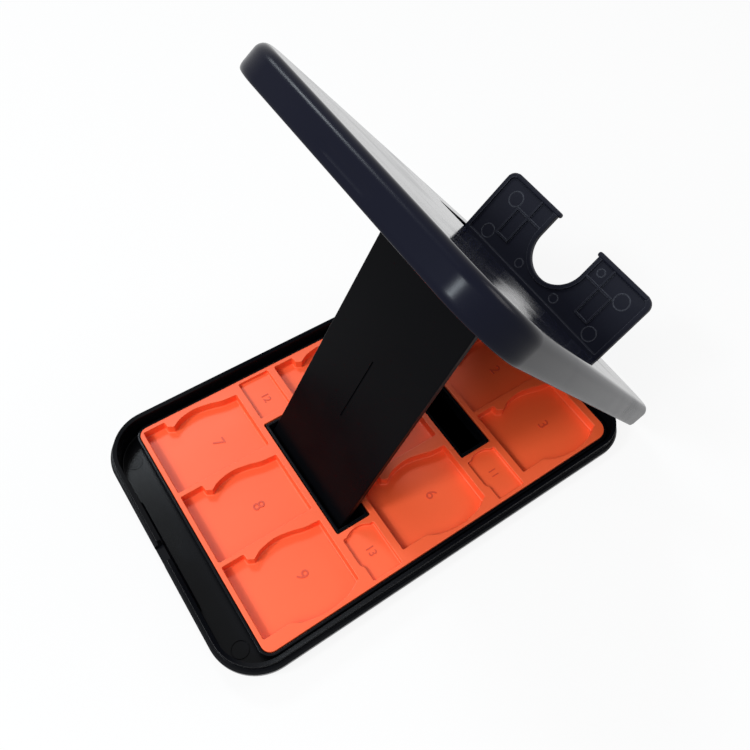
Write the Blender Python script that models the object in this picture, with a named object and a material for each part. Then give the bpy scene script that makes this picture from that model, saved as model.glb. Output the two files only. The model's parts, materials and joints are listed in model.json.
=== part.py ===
# Game card case whose lid props open as a stand for a handheld console.
# Lengths are in metres and angles in degrees. X runs across the case, +Y towards the latch end, +Z up.
# The origin is the middle of the tray's footprint, at the level that the rubber feet stand on.

import math

import bmesh
import bpy
from mathutils import Matrix

# Shared by several pieces
case_corner = 0.015
gap = 0.0003
overrun = 0.002
root = 0.0007
weld_distance = 0.00001
corner_steps = 8
small_steps = 4
round_steps = 4
rod_sides = 20

# Tray, which is as much larger than the insert as its margins say
side_margin = 0.00483
latch_margin = 0.012
hinge_margin = 0.00583
foot_proud = 0.0006
foot_radius = 0.004
foot_seat = 0.0007
foot_inset = 0.016
foot_round = 0.0002
tray_floor = 0.0018
tray_height = 0.0073
tray_round = 0.0036
tongue_height = 0.001
tongue_inset = 0.0013
rim_width = 0.0025
cavity_round = 0.0015
guard_wall = 0.0008
guard_drop = 0.0004
frame_drop = 0.0002
catch_width = 0.041
catch_depth = 0.0012
catch_drop = 0.0014
notch_width = 0.0064
notch_drop = 0.0009

# Card insert, whose size follows from the cards that it holds in three columns and three rows
card_width = 0.02146
pocket_length = 0.03159
column_web = 0.00444
row_web = 0.00198
side_border = 0.001375
latch_border = 0.00147
hinge_border = 0.00277
insert_floor = 0.001
insert_sink = 0.0006
insert_latch_corner = 0.003
insert_hinge_corner = 0.0045
insert_edge = 0.0003
well_length = 0.01197
finger_depth = 0.0024
near_finger_depth = 0.0032
small_pocket_width = 0.0153
small_pocket_length = 0.011
small_pocket_depth = 0.0015
small_pocket_border = 0.0012
small_web = 0.00227
small_finger_depth = 0.0013
small_step_depth = 0.0009

# Lid and its hinge
stand_angle = 51.4
hinge_rise = 0.00074
knuckle_radius = 0.0021
knuckle_clearance = 0.00036
lid_knuckle_width = 0.008
tray_knuckle_width = 0.004
knuckle_side = 0.0217
hinge_pin_radius = 0.0009
gusset_angle = 120
lid_height = 0.00785
lid_skin = 0.0018
lid_wall = 0.0018
lid_round = 0.0027
lid_inner_round = 0.001
rabbet_depth = 0.0014
dent_width = 0.0144
dent_depth = 0.0007
dent_rise = 0.0009
dent_height = 0.0023

# Prop leg
leg_play = 0.00115
leg_thickness = 0.0022
leg_pivot_along = 0.09743
leg_pivot_rise = 0.0023
leg_barrel_radius = 0.0017
leg_pin_radius = 0.0008
leg_pin_grip = 0.004
leg_boss_width = 0.00375
leg_boss_radius = 0.0022
foot_play = 0.0008
slit_length = 0.0215
slit_width = 0.0005
slit_depth = 0.0004
slit_along = 0.047
slit_offset = 0.001

# Console lip
lip_side = 0.0151
lip_reach = 0.0235
lip_thickness = 0.0022
lip_angle = 84
lip_along = 0.0425
lip_sink = 0.0001
lip_corner = 0.003
lip_rim = 0.0014
lip_pocket_depth = 0.001
lip_rib_drop = 0.0002
lip_rib_width = 0.0007
lip_rib_step = 0.00005
lip_root_round = 0.001
lip_root_margin = 0.0017
lip_pin_radius = 0.00045
lip_pin_grip = 0.0035
recess_skin = 0.00125
recess_wall = 0.0015
cutout_width = 0.0183
cutout_foot = 0.0058

# Outline of a card pocket's far side, from the latch end, as shares of half its width and of its length
step_shares = [(1.267, 0.0), (1.267, 0.228), (1.081, 0.231), (0.988, 0.291)]
finger_end_share = (1.025, 0.839)
near_finger_shares = [0.269, 0.997]
small_step_shares = [0.6, 0.68]
small_finger_shares = [0.12, 0.88]

# Sizes that follow from the cards
column_pitch = card_width + column_web
row_pitch = pocket_length + well_length + 2 * row_web
insert_width = 2 * (column_pitch + step_shares[0][0] * card_width / 2 + side_border)
insert_length = latch_border + 2 * row_pitch + pocket_length + hinge_border
case_width = insert_width + 2 * side_margin
case_length = latch_margin + insert_length + hinge_margin
well_width = insert_width - 2 * (small_pocket_border + small_pocket_width + small_web)
leg_width = well_width - 2 * (gap + guard_wall + leg_play)
lip_width = case_width - 2 * lip_side
knuckle_spacing = case_width - 2 * knuckle_side

# Heights and places worked out from the sizes above
tray_underside = foot_proud
tray_floor_top = tray_underside + tray_floor
ledge_top = tray_underside + tray_height
tongue_top = ledge_top + tongue_height
insert_bottom = tray_floor_top + gap
insert_top = ledge_top - insert_sink
pocket_floor = insert_bottom + insert_floor
insert_latch_y = case_length / 2 - latch_margin
first_row_y = insert_latch_y - latch_border
first_well_y = first_row_y - pocket_length - row_web
hinge_offset = knuckle_radius + knuckle_clearance
hinge_y = -case_length / 2 - hinge_offset
hinge_z = ledge_top + gap + hinge_rise
rim_level = -hinge_rise
lid_top = rim_level + lid_height
lid_ceiling = lid_top - lid_skin
lid_middle = hinge_offset + case_length / 2
leg_pivot = (hinge_offset + leg_pivot_along, rim_level + leg_pivot_rise)
lip_pivot = (hinge_offset + lip_along, lid_top - lip_sink - lip_thickness / 2)
recess_floor = lip_pivot[1] - lip_thickness / 2 - gap
foot_place = (
    first_well_y - gap - guard_wall - foot_play - leg_thickness / 2,
    tray_floor_top + gap + leg_thickness / 2,
)

# Ribs of the console lip, as shares of half its width and of its reach: from and to
lip_rib_shares = [
    ((0.516, 0.29), (0.516, 0.94)),
    ((0.345, 0.672), (0.673, 0.672)),
    ((0.528, 0.274), (0.673, 0.274)),
    ((0.673, 0.274), (0.673, 0.672)),
]

for old in list(bpy.data.objects):
    bpy.data.objects.remove(old)

parts = bpy.data.collections.new("game_card_holder_stand")
bpy.context.scene.collection.children.link(parts)
cutters = bpy.data.collections.new("cutters")
bpy.context.scene.collection.children.link(cutters)


def make_material(name, colour, roughness, metallic=0.0):
    material = bpy.data.materials.new(name)
    material.use_nodes = True
    shader = material.node_tree.nodes["Principled BSDF"]
    shader.inputs["Base Color"].default_value = (*colour, 1)
    shader.inputs["Roughness"].default_value = roughness
    shader.inputs["Metallic"].default_value = metallic
    return material


black_plastic = make_material("black_plastic", (0.012, 0.013, 0.018), 0.35)
gloss_black = make_material("gloss_black", (0.008, 0.008, 0.01), 0.15)
lip_plastic = make_material("lip_plastic", (0.014, 0.017, 0.03), 0.42)
coral_rubber = make_material("coral_rubber", (0.9, 0.12, 0.045), 0.55)
foot_rubber = make_material("foot_rubber", (0.02, 0.02, 0.02), 0.8)
pin_steel = make_material("pin_steel", (0.6, 0.6, 0.62), 0.25, 1.0)


def arc(centre, radius, start, stop, steps):
    points = []
    for step in range(steps + 1):
        angle = math.radians(start + (stop - start) * step / steps)
        points.append((centre[0] + radius * math.cos(angle), centre[1] + radius * math.sin(angle)))
    return points


def rounded_rectangle(low, high, radii, steps):
    # The radii go round from the corner at high x and high y, counter-clockwise
    points = arc((high[0] - radii[0], high[1] - radii[0]), radii[0], 0, 90, steps)
    points += arc((low[0] + radii[1], high[1] - radii[1]), radii[1], 90, 180, steps)
    points += arc((low[0] + radii[2], low[1] + radii[2]), radii[2], 180, 270, steps)
    points += arc((high[0] - radii[3], low[1] + radii[3]), radii[3], 270, 360, steps)
    return points


def circle(centre, radius):
    return arc(centre, radius, 0, 360, rod_sides)[:-1]


def rectangle(low, high):
    return [low, (high[0], low[1]), high, (low[0], high[1])]


def case_outline(middle_y, inset):
    half_x = case_width / 2 - inset
    half_y = case_length / 2 - inset
    radii = [case_corner - inset] * 4
    return rounded_rectangle((-half_x, middle_y - half_y), (half_x, middle_y + half_y), radii, corner_steps)


def bulge(start, end, depth, steps):
    # An arc from start to end that stands out to the left of the straight line between them by depth
    chord = math.dist(start, end)
    along = ((end[0] - start[0]) / chord, (end[1] - start[1]) / chord)
    across = (-along[1], along[0])
    radius = (chord * chord / 4 + depth * depth) / (2 * depth)
    reach = math.asin(chord / (2 * radius))
    points = []
    for step in range(steps + 1):
        angle = reach * (2 * step / steps - 1)
        side = radius * math.sin(angle)
        rise = radius * math.cos(angle) - radius + depth
        x = (start[0] + end[0]) / 2 + along[0] * side + across[0] * rise
        y = (start[1] + end[1]) / 2 + along[1] * side + across[1] * rise
        points.append((x, y))
    return points


def round_cap(mesh, side, width, steps):
    # Rounds the edges between the walls and the cap that faces side, which is 1 or -1
    edges = []
    for edge in mesh.edges:
        tilts = [face.normal.z * side for face in edge.link_faces]
        if max(tilts) > 0.9 and min(tilts) < 0.1:
            edges.append(edge)
    bmesh.ops.bevel(
        mesh, geom=edges, offset=width, segments=steps, profile=0.5, affect="EDGES", clamp_overlap=True
    )


def plate(name, outlines, low, high, low_round=0, high_round=0, steps=round_steps):
    # A flat outline, with any holes as further outlines, extruded from low to high
    curve = bpy.data.curves.new(name, "CURVE")
    curve.dimensions = "2D"
    curve.fill_mode = "BOTH"
    curve.extrude = (high - low) / 2
    for outline in outlines:
        spline = curve.splines.new("POLY")
        spline.points.add(len(outline) - 1)
        for point, place in zip(spline.points, outline):
            point.co = (*place, 0, 1)
        spline.use_cyclic_u = True
    guide = bpy.data.objects.new(name, curve)
    guide.location.z = (low + high) / 2
    cutters.objects.link(guide)
    bpy.context.view_layer.update()
    evaluated = guide.evaluated_get(bpy.context.evaluated_depsgraph_get())
    data = bpy.data.meshes.new_from_object(evaluated)
    placed = guide.matrix_world.copy()
    bpy.data.objects.remove(guide)
    mesh = bmesh.new()
    mesh.from_mesh(data)
    bmesh.ops.remove_doubles(mesh, verts=mesh.verts, dist=weld_distance)
    bmesh.ops.dissolve_limit(mesh, angle_limit=math.radians(0.1), verts=mesh.verts, edges=mesh.edges)
    bmesh.ops.recalc_face_normals(mesh, faces=mesh.faces)
    if low_round:
        round_cap(mesh, -1, low_round, steps)
    if high_round:
        round_cap(mesh, 1, high_round, steps)
    mesh.to_mesh(data)
    mesh.free()
    piece = bpy.data.objects.new(name, data)
    piece.matrix_world = placed
    return piece


def bar(name, outline, low, high):
    # An outline in Y and Z, extruded along X from low to high
    piece = plate(name, [outline], low, high)
    to_x = Matrix(((0, 0, 1, 0), (1, 0, 0, 0), (0, 1, 0, 0), (0, 0, 0, 1)))
    piece.data.transform(to_x @ piece.matrix_basis)
    piece.matrix_basis = Matrix()
    return piece


def box(name, low, high):
    mesh = bmesh.new()
    size = [high[axis] - low[axis] for axis in range(3)]
    middle = [(high[axis] + low[axis]) / 2 for axis in range(3)]
    bmesh.ops.create_cube(mesh, size=1, matrix=Matrix.Translation(middle) @ Matrix.Diagonal((*size, 1)))
    return finish_mesh(name, mesh)


def rod(name, radius, low, high, place, sides=rod_sides):
    # A cylinder along X from low to high, about the line at place in Y and Z
    mesh = bmesh.new()
    turn = Matrix.Translation(((low + high) / 2, *place)) @ Matrix.Rotation(math.radians(90), 4, "Y")
    bmesh.ops.create_cone(
        mesh, cap_ends=True, segments=sides, radius1=radius, radius2=radius, depth=high - low, matrix=turn
    )
    return finish_mesh(name, mesh)


def finish_mesh(name, mesh):
    data = bpy.data.meshes.new(name)
    mesh.to_mesh(data)
    mesh.free()
    return bpy.data.objects.new(name, data)


def make_part(piece, material, parent=None):
    parts.objects.link(piece)
    piece.parent = parent
    piece.data.materials.clear()
    piece.data.materials.append(material)
    piece.data.shade_smooth()
    piece.data.set_sharp_from_angle(angle=math.radians(30))
    return piece


def shape(target, tool, operation):
    # Cuts the tool from the target, or joins it on, in the target's own frame
    cutters.objects.link(tool)
    tool.parent = target.parent
    tool.hide_render = True
    tool.display_type = "WIRE"
    modifier = target.modifiers.new(tool.name, "BOOLEAN")
    modifier.operation = operation
    modifier.solver = "EXACT"
    modifier.object = tool


def cut(target, tool):
    shape(target, tool, "DIFFERENCE")


def join(target, tool):
    shape(target, tool, "UNION")


def empty_at(name, y, z, angle, parent=None):
    empty = bpy.data.objects.new(name, None)
    empty.location = (0, y, z)
    empty.rotation_euler.x = angle
    empty.parent = parent
    parts.objects.link(empty)
    return empty


def both_sides():
    return (("left", -1), ("right", 1))


# Outlines of the insert and its openings

def insert_outline(grow):
    half_x = insert_width / 2 + grow
    low = (-half_x, insert_latch_y - insert_length - grow)
    high = (half_x, insert_latch_y + grow)
    latch_corner = insert_latch_corner + grow
    hinge_corner = insert_hinge_corner + grow
    radii = [latch_corner, latch_corner, hinge_corner, hinge_corner]
    return rounded_rectangle(low, high, radii, small_steps)


def well_outline(row, shrink):
    latch_y = first_well_y - row * row_pitch
    half_x = well_width / 2 - shrink
    return rectangle((-half_x, latch_y - well_length + shrink), (half_x, latch_y - shrink))


def card_pocket_outline(column, row):
    centre_x = column * column_pitch
    latch_y = first_row_y - row * row_pitch
    half = card_width / 2

    def at(across_share, along_share):
        return (centre_x + across_share * half, latch_y - along_share * pocket_length)

    points = [at(*shares) for shares in step_shares]
    points += bulge(points[-1], at(*finger_end_share), finger_depth, 2 * small_steps)[1:]
    points += [at(1, 1), at(-1, 1)]
    if column == -1:
        top_share, foot_share = near_finger_shares
        points += bulge(at(-1, foot_share), at(-1, top_share), near_finger_depth, 2 * small_steps)[1:]
    points.append(at(-1, 0))
    return points


def small_pocket_outline(side, row):
    well_middle = first_well_y - row * row_pitch - well_length / 2
    outer = insert_width / 2 - small_pocket_border
    inner = outer - small_pocket_width
    latch_y = well_middle + small_pocket_length / 2
    hinge_y_here = well_middle - small_pocket_length / 2
    if side > 0:
        return rectangle((inner, hinge_y_here), (outer, latch_y))
    first_step, second_step = [inner + share * small_pocket_width for share in small_step_shares]
    top, foot = [latch_y - share * small_pocket_length for share in small_finger_shares]
    points = [(-outer, hinge_y_here), (-inner, hinge_y_here)]
    points += bulge((-inner, top), (-inner, foot), small_finger_depth, small_steps)[::-1]
    points += [(-inner, latch_y), (-first_step, latch_y), (-second_step, latch_y - small_step_depth)]
    points.append((-outer, latch_y - small_step_depth))
    return points


# Tray

def knuckle_outline(up, web_level, middle):
    # The barrel about the hinge axis and its web into the wall, which is up (1) or down (-1) from the axis
    start = math.degrees(math.asin(web_level / knuckle_radius))
    reach = hinge_offset + root
    tangent = math.radians(gusset_angle)
    run = (reach - knuckle_radius * math.cos(tangent)) / math.sin(tangent)
    gusset = knuckle_radius * math.sin(tangent) - run * math.cos(tangent)
    points = arc((0, 0), knuckle_radius, start, gusset_angle - 360, 3 * corner_steps)
    points += [(reach, gusset), (reach, web_level)]
    return [(middle[0] + y, middle[1] + up * z) for y, z in points]


def make_tray():
    tray = plate("base_tray", [case_outline(0, 0)], tray_underside, ledge_top, low_round=tray_round)
    make_part(tray, black_plastic)
    join(tray, plate("tray_tongue", [case_outline(0, tongue_inset)], tray_floor_top, tongue_top))
    cavity = case_outline(0, rim_width)
    cut(tray, plate("tray_cavity", [cavity], tray_floor_top, tongue_top + overrun, low_round=cavity_round))
    wall_foot = tray_floor_top - root
    guard = [insert_outline(gap + guard_wall), insert_outline(gap)]
    join(tray, plate("insert_guard", guard, wall_foot, insert_top - guard_drop))
    for row in range(2):
        frame = [well_outline(row, gap), well_outline(row, gap + guard_wall)]
        join(tray, plate(f"well_frame_{row}", frame, wall_foot, insert_top - frame_drop))
    inner_y = case_length / 2 - rim_width
    catch_low = (-catch_width / 2, inner_y - catch_depth, wall_foot)
    catch_high = (catch_width / 2, inner_y + root, tongue_top - catch_drop)
    join(tray, box("latch_catch", catch_low, catch_high))
    notch_low = (-notch_width / 2, inner_y - catch_depth - overrun, ledge_top - notch_drop)
    notch_high = (notch_width / 2, case_length / 2 + overrun, tongue_top + overrun)
    cut(tray, box("rim_notch", notch_low, notch_high))
    web_level = hinge_rise + 2 * gap
    outline = knuckle_outline(-1, web_level, (hinge_y, hinge_z))
    near_edge = lid_knuckle_width / 2 + gap
    for side_name, side in both_sides():
        for inner_name, inner in (("inner", -1), ("outer", 1)):
            middle = side * (knuckle_spacing / 2 + inner * (near_edge + tray_knuckle_width / 2))
            low = middle - tray_knuckle_width / 2
            high = middle + tray_knuckle_width / 2
            join(tray, bar(f"tray_knuckle_{side_name}_{inner_name}", outline, low, high))
    half_spread = knuckle_spacing / 2 + near_edge + tray_knuckle_width + overrun
    cut(tray, rod("tray_hinge_bore", hinge_pin_radius + gap, -half_spread, half_spread, (hinge_y, hinge_z)))
    for name, x, y in foot_places():
        seat = [circle((x, y), foot_radius + gap)]
        cut(tray, plate(f"{name}_seat", seat, tray_underside - overrun, tray_underside + foot_seat))


def foot_places():
    places = []
    for side_name, side in both_sides():
        for end_name, end in (("hinge", -1), ("latch", 1)):
            x = side * (case_width / 2 - foot_inset)
            y = end * (case_length / 2 - foot_inset)
            places.append((f"foot_{end_name}_{side_name}", x, y))
    return places


def make_feet():
    top = tray_underside + foot_seat - gap
    for name, x, y in foot_places():
        foot = plate(name, [circle((x, y), foot_radius)], 0, top, low_round=foot_round, steps=2)
        make_part(foot, foot_rubber)


def make_insert():
    outline = insert_outline(0)
    insert = plate("card_insert", [outline], insert_bottom, insert_top, high_round=insert_edge, steps=2)
    make_part(insert, coral_rubber)
    wells = [well_outline(row, 0) for row in range(2)]
    cut(insert, plate("well_openings", wells, insert_bottom - overrun, insert_top + overrun))
    pockets = [card_pocket_outline(column, row) for column in (-1, 0, 1) for row in range(3)]
    cut(insert, plate("card_pockets", pockets, pocket_floor, insert_top + overrun))
    small = [small_pocket_outline(side, row) for side in (-1, 1) for row in range(2)]
    cut(insert, plate("small_pockets", small, insert_top - small_pocket_depth, insert_top + overrun))


# Lid, in its own frame: the origin on the hinge axis, +Y along the lid and +Z out of its face

def leg_boss_outline():
    centre = leg_pivot
    points = arc(centre, leg_boss_radius, 180, 360, 2 * small_steps)
    top = lid_ceiling + root
    return points + [(centre[0] + leg_boss_radius, top), (centre[0] - leg_boss_radius, top)]


def recess_outline():
    half_x = lip_width / 2 + gap
    low = (-half_x, lip_pivot[0] - lip_thickness / 2 - gap)
    high = (half_x, lip_pivot[0] + lip_reach + gap)
    corner = lip_corner + gap
    return rounded_rectangle(low, high, [corner, corner, gap, gap], small_steps)


def dent_outline():
    end_y = hinge_offset + case_length
    half_x = dent_width / 2
    points = bulge((-half_x, end_y), (half_x, end_y), dent_depth, 2 * small_steps)
    points = [(x, 2 * end_y - y) for x, y in points]
    return points + [(half_x, end_y + overrun), (-half_x, end_y + overrun)]


def make_lid(lid_axis):
    lid = plate("lid_shell", [case_outline(lid_middle, 0)], rim_level, lid_top, high_round=lid_round)
    make_part(lid, black_plastic, lid_axis)
    inside = [case_outline(lid_middle, lid_wall)]
    open_level = rim_level - overrun
    cut(lid, plate("lid_cavity", inside, open_level, lid_ceiling, high_round=lid_inner_round, steps=2))
    rabbet = [case_outline(lid_middle, tongue_inset - gap)]
    cut(lid, plate("lid_rabbet", rabbet, open_level, rim_level + rabbet_depth))
    block_x = lip_width / 2 + recess_wall
    block_low = (-block_x, lip_pivot[0] - lip_thickness - recess_wall, recess_floor - recess_skin)
    block_high = (block_x, lip_pivot[0] + lip_reach + recess_wall, lid_ceiling + root)
    join(lid, box("recess_block", block_low, block_high))
    inner_x = leg_width / 2 + gap
    for side_name, side in both_sides():
        ends = sorted((side * inner_x, side * (inner_x + leg_boss_width)))
        join(lid, bar(f"leg_boss_{side_name}", leg_boss_outline(), *ends))
    web = knuckle_outline(1, -gap, (0, 0))
    for side_name, side in both_sides():
        middle = side * knuckle_spacing / 2
        ends = (middle - lid_knuckle_width / 2, middle + lid_knuckle_width / 2)
        join(lid, bar(f"lid_knuckle_{side_name}", web, *ends))
    half_spread = knuckle_spacing / 2 + lid_knuckle_width
    cut(lid, rod("lid_hinge_bore", hinge_pin_radius + gap, -half_spread, half_spread, (0, 0)))
    boss_end = inner_x + leg_boss_width + overrun
    cut(lid, rod("leg_pin_bore", leg_pin_radius + gap, -boss_end, boss_end, leg_pivot))
    cut(lid, plate("lip_recess", [recess_outline()], recess_floor, lid_top + overrun))
    lip_bore_end = lip_width / 2 + lip_pin_grip + gap
    cut(lid, rod("lip_pin_bore", lip_pin_radius + gap, -lip_bore_end, lip_bore_end, lip_pivot))
    dent_low = rim_level + dent_rise
    cut(lid, plate("thumb_dent", [dent_outline()], dent_low, dent_low + dent_height))


def make_hinge_pins():
    half = lid_knuckle_width / 2 + gap + tray_knuckle_width
    for side_name, side in both_sides():
        low = side * knuckle_spacing / 2 - half
        high = side * knuckle_spacing / 2 + half
        pin = rod(f"lid_hinge_pin_{side_name}", hinge_pin_radius, low, high, (hinge_y, hinge_z))
        make_part(pin, pin_steel)


def make_leg_pins(lid_axis):
    for side_name, side in both_sides():
        inner = leg_width / 2 - leg_pin_grip
        outer = leg_width / 2 + gap + leg_boss_width
        ends = sorted((side * inner, side * outer))
        make_part(rod(f"leg_pivot_pin_{side_name}", leg_pin_radius, *ends, leg_pivot), pin_steel, lid_axis)


def make_lip_pins(lid_axis):
    for side_name, side in both_sides():
        inner = lip_width / 2 - lip_pin_grip
        outer = lip_width / 2 + lip_pin_grip
        ends = sorted((side * inner, side * outer))
        make_part(rod(f"lip_pivot_pin_{side_name}", lip_pin_radius, *ends, lip_pivot), pin_steel, lid_axis)


# Prop leg, in its own frame: the origin on its pivot, the foot towards -Y when it is folded into the lid

def lid_place(along, rise):
    # The place in the tray's frame of a point of the open lid
    angle = math.radians(stand_angle)
    y = hinge_y + along * math.cos(angle) - rise * math.sin(angle)
    z = hinge_z + along * math.sin(angle) + rise * math.cos(angle)
    return y, z


def make_leg(lid_axis):
    pivot = lid_place(*leg_pivot)
    length = math.dist(pivot, foot_place)
    lean = math.atan2(pivot[1] - foot_place[1], pivot[0] - foot_place[0])
    leg_axis = empty_at("leg_axis", *leg_pivot, lean - math.radians(stand_angle), lid_axis)
    half = leg_thickness / 2
    meet = math.degrees(math.asin(half / leg_barrel_radius))
    outline = arc((0, 0), leg_barrel_radius, meet - 180, 180 - meet, 3 * small_steps)
    outline += arc((-length, 0), half, 90, 270, 2 * small_steps)
    leg = bar("prop_leg", outline, -leg_width / 2, leg_width / 2)
    make_part(leg, gloss_black, leg_axis)
    for side_name, side in both_sides():
        inner = leg_width / 2 - leg_pin_grip - gap
        ends = sorted((side * inner, side * (leg_width / 2 + overrun)))
        cut(leg, rod(f"leg_bore_{side_name}", leg_pin_radius + gap, *ends, (0, 0)))
    slit_low = (slit_offset - slit_width / 2, -slit_along - slit_length, half - slit_depth)
    slit_high = (slit_offset + slit_width / 2, -slit_along, half + overrun)
    cut(leg, box("leg_slit", slit_low, slit_high))


# Console lip, in its own frame: the origin on its pivot, the free edge towards +Y when it is folded

def lip_outline(inset, root_y):
    half_x = lip_width / 2 - inset
    top_y = lip_reach - inset
    corner = lip_corner - inset
    half_cut = cutout_width / 2 + inset
    cut_middle = cutout_foot + cutout_width / 2
    outline = arc((half_x - corner, top_y - corner), corner, 0, 90, small_steps)
    outline.append((half_cut, top_y))
    outline += arc((0, cut_middle), half_cut, 360, 180, 2 * corner_steps)
    outline.append((-half_cut, top_y))
    outline += arc((corner - half_x, top_y - corner), corner, 90, 180, small_steps)
    outline += [(-half_x, root_y), (half_x, root_y)]
    return outline


def lip_rib(name, ends, side, order):
    # Each rib starts and ends at a slightly different height, so that crossing ribs share no face
    (x_from, y_from), (x_to, y_to) = ends
    half_x = side * lip_width / 2
    across_x = lip_rib_width / 2 if x_from == x_to else 0
    across_y = lip_rib_width / 2 - across_x
    x_low, x_high = sorted((x_from * half_x, x_to * half_x))
    low_z = lip_rib_drop + order * lip_rib_step - lip_thickness / 2
    high_z = lip_pocket_depth + root / 2 + order * lip_rib_step - lip_thickness / 2
    low = (x_low - across_x, y_from * lip_reach - across_y, low_z)
    high = (x_high + across_x, y_to * lip_reach + across_y, high_z)
    return box(name, low, high)


def round_root(piece):
    mesh = bmesh.new()
    mesh.from_mesh(piece.data)
    root_y = min(vert.co.y for vert in mesh.verts)
    edges = []
    for edge in mesh.edges:
        first, second = edge.verts
        along_root = max(first.co.y, second.co.y) - root_y < weld_distance
        if along_root and abs(first.co.z - second.co.z) < weld_distance:
            edges.append(edge)
    bmesh.ops.bevel(
        mesh, geom=edges, offset=lip_root_round, segments=small_steps, profile=0.5, affect="EDGES"
    )
    mesh.to_mesh(piece.data)
    mesh.free()


def make_lip(lid_axis):
    lip_axis = empty_at("lip_axis", *lip_pivot, math.radians(lip_angle), lid_axis)
    half = lip_thickness / 2
    lip = plate("console_lip", [lip_outline(0, -half)], -half, half)
    round_root(lip)
    make_part(lip, lip_plastic, lip_axis)
    pocket = [lip_outline(lip_rim, lip_root_margin)]
    cut(lip, plate("lip_pocket", pocket, -half - overrun, lip_pocket_depth - half))
    for side_name, side in both_sides():
        for order, ends in enumerate(lip_rib_shares):
            join(lip, lip_rib(f"lip_rib_{side_name}_{order}", ends, side, order))
        inner = lip_width / 2 - lip_pin_grip - gap
        bore_ends = sorted((side * inner, side * (lip_width / 2 + overrun)))
        cut(lip, rod(f"lip_bore_{side_name}", lip_pin_radius + gap, *bore_ends, (0, 0)))


make_tray()
make_feet()
make_insert()
lid_frame = empty_at("lid_axis", hinge_y, hinge_z, math.radians(stand_angle))
make_lid(lid_frame)
make_hinge_pins()
make_leg_pins(lid_frame)
make_lip_pins(lid_frame)
make_leg(lid_frame)
make_lip(lid_frame)
bpy.context.view_layer.update()
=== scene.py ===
# The looks of a game card case whose lid props open as a stand for a handheld console.
# Sizes are in millimetres and angles in degrees: +X across the case, +Y to the latch end, +Z up.

import json
import math

import bmesh
import bpy
from mathutils import Matrix, Vector


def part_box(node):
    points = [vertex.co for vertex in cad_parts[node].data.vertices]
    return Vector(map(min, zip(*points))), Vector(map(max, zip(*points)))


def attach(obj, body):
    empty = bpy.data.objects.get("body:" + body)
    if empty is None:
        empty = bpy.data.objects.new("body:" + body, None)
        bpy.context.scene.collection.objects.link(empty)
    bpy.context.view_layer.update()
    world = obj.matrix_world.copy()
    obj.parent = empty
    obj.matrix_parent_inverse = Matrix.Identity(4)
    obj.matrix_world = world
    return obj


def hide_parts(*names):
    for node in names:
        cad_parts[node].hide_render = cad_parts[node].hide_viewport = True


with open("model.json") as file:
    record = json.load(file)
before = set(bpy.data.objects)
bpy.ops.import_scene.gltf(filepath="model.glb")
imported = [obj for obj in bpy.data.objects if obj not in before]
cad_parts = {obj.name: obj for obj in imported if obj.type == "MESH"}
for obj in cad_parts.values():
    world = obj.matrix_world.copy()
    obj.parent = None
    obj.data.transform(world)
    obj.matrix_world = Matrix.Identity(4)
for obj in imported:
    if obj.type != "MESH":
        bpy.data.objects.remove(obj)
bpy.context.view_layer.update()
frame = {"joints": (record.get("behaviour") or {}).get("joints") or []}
print("frame loaded")

mm = 0.001
pivots = {joint["name"]: Vector(joint["pos_m"]) / mm for joint in frame["joints"]}


def boxOf(node):
    low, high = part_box(node)
    return low / mm, high / mm


# Outlines, which all run counter-clockwise

def arc(centre, radius, start, stop, steps):
    points = []
    for step in range(steps + 1):
        angle = math.radians(start + (stop - start) * step / steps)
        points.append(Vector((centre[0] + radius * math.cos(angle), centre[1] + radius * math.sin(angle))))
    return points


def circle(centre, radius, steps=48):
    return arc(centre, radius, 0, 360, steps)[:-1]


def roundedRectangle(low, high, radii, steps=10):
    # The radii go round from the corner at high x and high y
    points = []
    for turn, radius in enumerate(radii):
        x = low[0] + radius if turn in (1, 2) else high[0] - radius
        y = low[1] + radius if turn in (2, 3) else high[1] - radius
        points += arc((x, y), radius, 90 * turn, 90 * turn + 90, steps)
    return points


def curveThrough(points, steps=6):
    # A smooth curve through the points
    points = [Vector(point) for point in points]
    ends = [2 * points[0] - points[1]] + points + [2 * points[-1] - points[-2]]
    curve = [points[0]]
    for first, second, third, fourth in zip(ends, ends[1:], ends[2:], ends[3:]):
        for step in range(1, steps + 1):
            share = step / steps
            bend1 = (third - first) * share
            bend2 = (2 * first - 5 * second + 4 * third - fourth) * share ** 2
            bend3 = (3 * second - first - 3 * third + fourth) * share ** 3
            curve.append(second + (bend1 + bend2 + bend3) / 2)
    return curve


def neighbours(points):
    return zip(points[-1:] + points[:-1], points, points[1:] + points[:1])


def counterClockwise(points):
    area = sum(corner.cross(after) for corner, after in zip(points, points[1:] + points[:1]))
    return points if area > 0 else points[::-1]


def softened(points, radius, steps=4, sharpest=18):
    # Rounds every corner that turns by more than the sharpest angle
    points = counterClockwise([Vector(point) for point in points])
    result = []
    for before, corner, after in neighbours(points):
        back = before - corner
        ahead = after - corner
        turn = math.pi - back.angle(ahead)
        if turn < math.radians(sharpest):
            result.append(corner)
            continue
        reach = min(radius * math.tan(turn / 2), back.length * 0.45, ahead.length * 0.45)
        back = corner + back.normalized() * reach
        ahead = corner + ahead.normalized() * reach
        middle = (back + ahead) / 2
        centre = corner + (middle - corner).normalized() * reach / math.sin(turn / 2)
        for step in range(steps + 1):
            spoke = (back - centre).lerp(ahead - centre, step / steps)
            result.append(centre + spoke.normalized() * (back - centre).length)
    return result


def inset(outline, amount):
    # The outline moved inwards, or outwards where the amount is below zero
    if not amount:
        return outline
    moved = []
    for before, corner, after in neighbours(outline):
        first = (corner - before).normalized()
        second = (after - corner).normalized()
        inwards = Vector((-first.y - second.y, first.x + second.x)).normalized()
        straight = Vector((-first.y, first.x))
        moved.append(corner + inwards * amount / max(0.4, inwards.dot(straight)))
    return moved


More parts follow.
